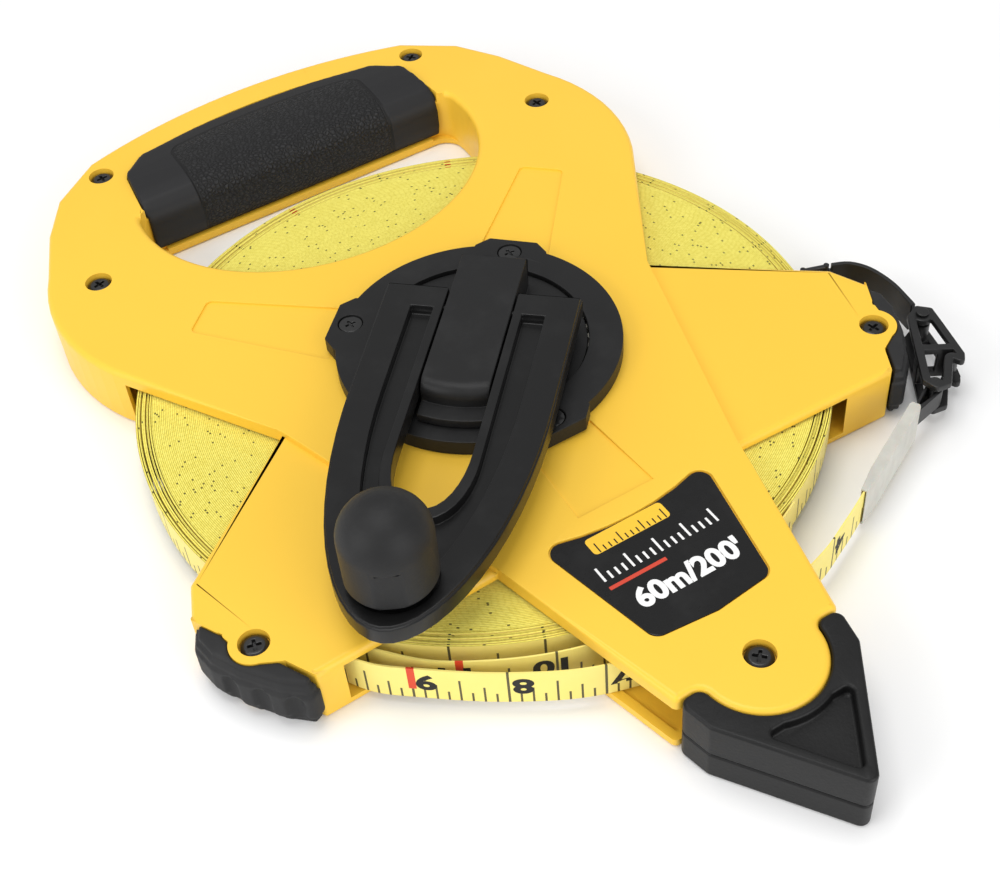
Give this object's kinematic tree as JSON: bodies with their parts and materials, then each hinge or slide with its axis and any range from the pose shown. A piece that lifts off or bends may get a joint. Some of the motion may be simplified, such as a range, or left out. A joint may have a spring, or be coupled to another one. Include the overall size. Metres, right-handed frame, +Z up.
{
  "type": "surveyor tape reel",
  "caption": "Open-frame surveyor tape reel with star-shaped case, carrying handle, geared folding crank and a hooked tape end.",
  "frame": {"origin": "on the reel axis, on the flat underside of the frame", "axes": "+Z up along the reel axis, +Y towards the carrying handle, -Y towards the nose"},
  "size_m": [0.2458, 0.356, 0.0655],
  "materials": {
    "case_yellow": "moulded ABS, semi-gloss",
    "black_plastic": "satin moulded nylon",
    "knob_plastic": "fine matt texture",
    "grip_rubber": "soft moulded grip, leather-like grain",
    "bumper_rubber": "moulded rubber, matt",
    "label_film": "printed film",
    "tape_fibreglass": "vinyl-coated glass-fibre tape",
    "steel": "zinc-plated",
    "screw_black": "black oxide",
    "gear_nylon": "natural acetal",
    "sleeve_vinyl": "frosted vinyl",
    "end_metal": "black lacquered steel"
  },
  "bodies": {
    "root": {"bottom_frame": "case_yellow", "top_frame": "case_yellow", "case_screws": "screw_black", "handle_grip": "grip_rubber", "nose_upper": "black_plastic", "nose_lower": "black_plastic", "left_bumper": "bumper_rubber", "right_bumper": "bumper_rubber", "length_label": "label_film", "axle": "steel", "axle_clip": "steel", "lower_washer": "gear_nylon", "ring_gear": "gear_nylon", "hub_cover": "black_plastic", "cover_screws": "screw_black", "tape_tail": "tape_fibreglass", "tape_sleeve": "sleeve_vinyl", "end_tab": "end_metal"},
    "reel": {"reel_drum": "black_plastic", "reel_bush": "gear_nylon", "sun_gear": "gear_nylon", "wound_tape": "tape_fibreglass", "tape_anchor": "steel"},
    "crank": {"crank_hub": "black_plastic", "arm_pins": "screw_black", "carrier_plate": "steel", "planet_pins": "steel", "upper_washer": "gear_nylon"},
    "planet_1": {"planet_gear_1": "gear_nylon"},
    "planet_2": {"planet_gear_2": "gear_nylon"},
    "planet_3": {"planet_gear_3": "gear_nylon"},
    "arm": {"crank_arm": "black_plastic", "knob_spindle": "steel"},
    "knob": {"crank_knob": "knob_plastic"},
    "link": {"end_link": "end_metal", "link_pin": "end_metal"},
    "hook": {"end_hook": "end_metal"},
    "wire": {"wire_loop": "end_metal"}
  },
  "joints": [
    {"name": "reel_spin", "type": "hinge", "parent": "root", "child": "reel", "pos_m": [0, 0, 0.01], "axis": [0, 0, 1], "continuous": true},
    {"name": "crank_spin", "type": "hinge", "parent": "root", "child": "crank", "pos_m": [0, 0, 0.0245], "axis": [0, 0, 1], "continuous": true},
    {"name": "planet_1_spin", "type": "hinge", "parent": "crank", "child": "planet_1", "pos_m": [0.01719, 0.01843, 0.0205], "axis": [0, 0, 1], "continuous": true},
    {"name": "planet_2_spin", "type": "hinge", "parent": "crank", "child": "planet_2", "pos_m": [-0.02455, 0.00567, 0.0205], "axis": [0, 0, 1], "continuous": true},
    {"name": "planet_3_spin", "type": "hinge", "parent": "crank", "child": "planet_3", "pos_m": [0.00737, -0.0241, 0.0205], "axis": [0, 0, 1], "continuous": true},
    {"name": "arm_fold", "type": "hinge", "parent": "crank", "child": "arm", "pos_m": [0.00273, 0.00293, 0.0332], "axis": [-0.7314, 0.682, 0], "range_deg": [0, 160]},
    {"name": "knob_spin", "type": "hinge", "parent": "arm", "child": "knob", "pos_m": [-0.06922, -0.07423, 0.045], "axis": [0, 0, 1], "continuous": true},
    {"name": "link_swing", "type": "hinge", "parent": "root", "child": "link", "pos_m": [0.106, -0.0852, 0.00975], "axis": [0, 0, 1], "range_deg": [-60, 0]},
    {"name": "hook_swing", "type": "hinge", "parent": "link", "child": "hook", "pos_m": [0.1232, -0.0606, 0.00975], "axis": [0, 0, 1], "range_deg": [-120, 0]},
    {"name": "wire_swing", "type": "hinge", "parent": "hook", "child": "wire", "pos_m": [0.1146, -0.0254, 0.00975], "axis": [0, 0, 1], "range_deg": [-60, 0]}
  ],
  "couplings": [
    {"joint": "crank_spin", "follows": "reel_spin", "ratio": 0.33333},
    {"joint": "planet_1_spin", "follows": "reel_spin", "ratio": -1.3333},
    {"joint": "planet_2_spin", "follows": "reel_spin", "ratio": -1.3333},
    {"joint": "planet_3_spin", "follows": "reel_spin", "ratio": -1.3333}
  ]
}
